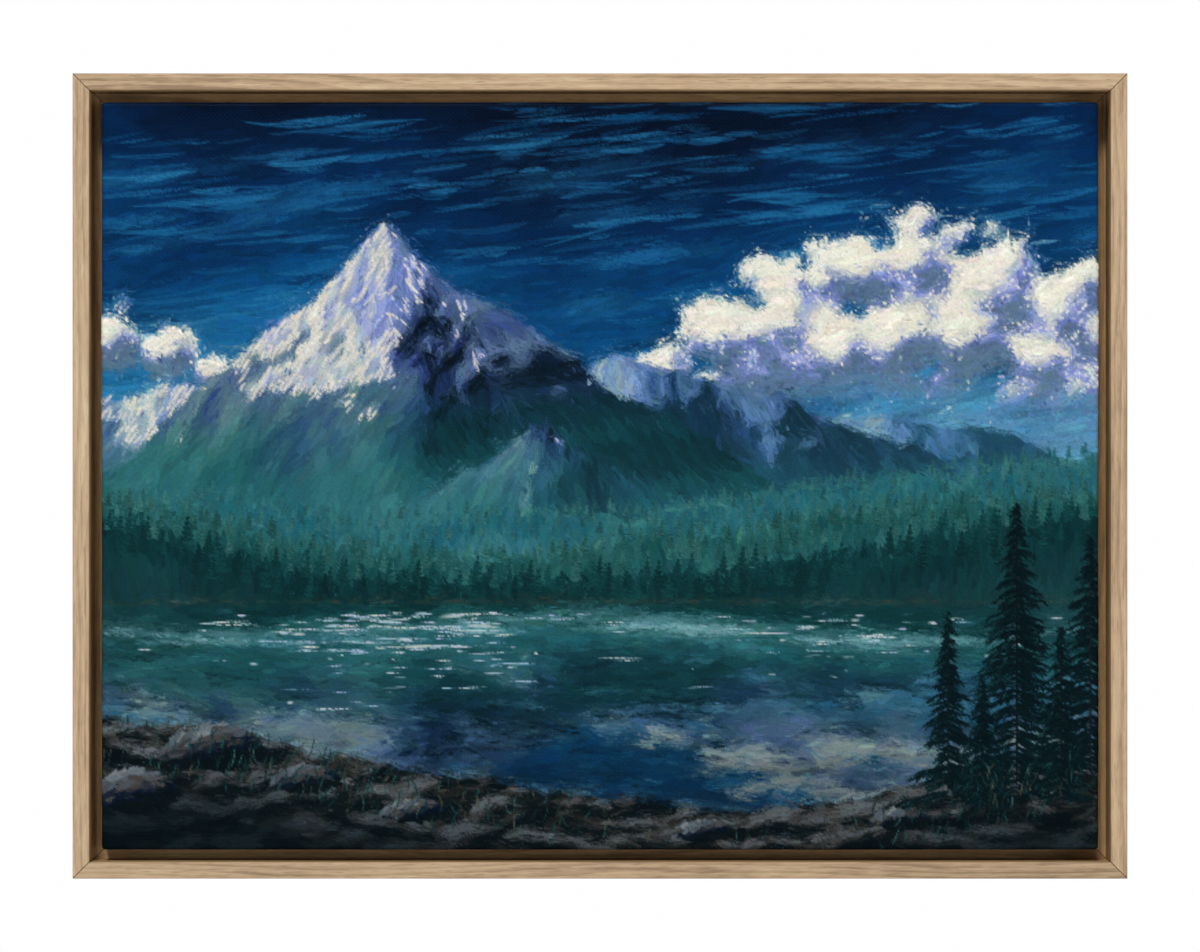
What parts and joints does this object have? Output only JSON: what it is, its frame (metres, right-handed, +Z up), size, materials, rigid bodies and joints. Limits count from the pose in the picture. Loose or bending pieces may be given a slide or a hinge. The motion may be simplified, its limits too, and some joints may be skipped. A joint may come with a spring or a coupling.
{
  "type": "framed oil painting",
  "caption": "Oil painting on stretched canvas in a slim light oak frame with a narrow shadow gap round the canvas, made to hang flat on a wall.",
  "frame": {"origin": "middle of the top rail's flat rear face, where the frame bears on the wall", "axes": "+X to the viewer's right, -Y out of the wall towards the viewer, +Z up; the wall is the plane y = 0"},
  "size_m": [0.4296, 0.032, 0.328],
  "materials": {
    "oak": "clear matt, fine grain",
    "canvas": "oil paint over primed cotton, satin",
    "pine": "bare, planed",
    "steel": "zinc plated"
  },
  "bodies": {
    "root": {"frame_top_rail": "oak", "frame_bottom_rail": "oak", "frame_left_rail": "oak", "frame_right_rail": "oak", "canvas": "canvas", "stretcher_top_bar": "pine", "stretcher_bottom_bar": "pine", "stretcher_left_bar": "pine", "stretcher_right_bar": "pine"}
  },
  "joints": []
}
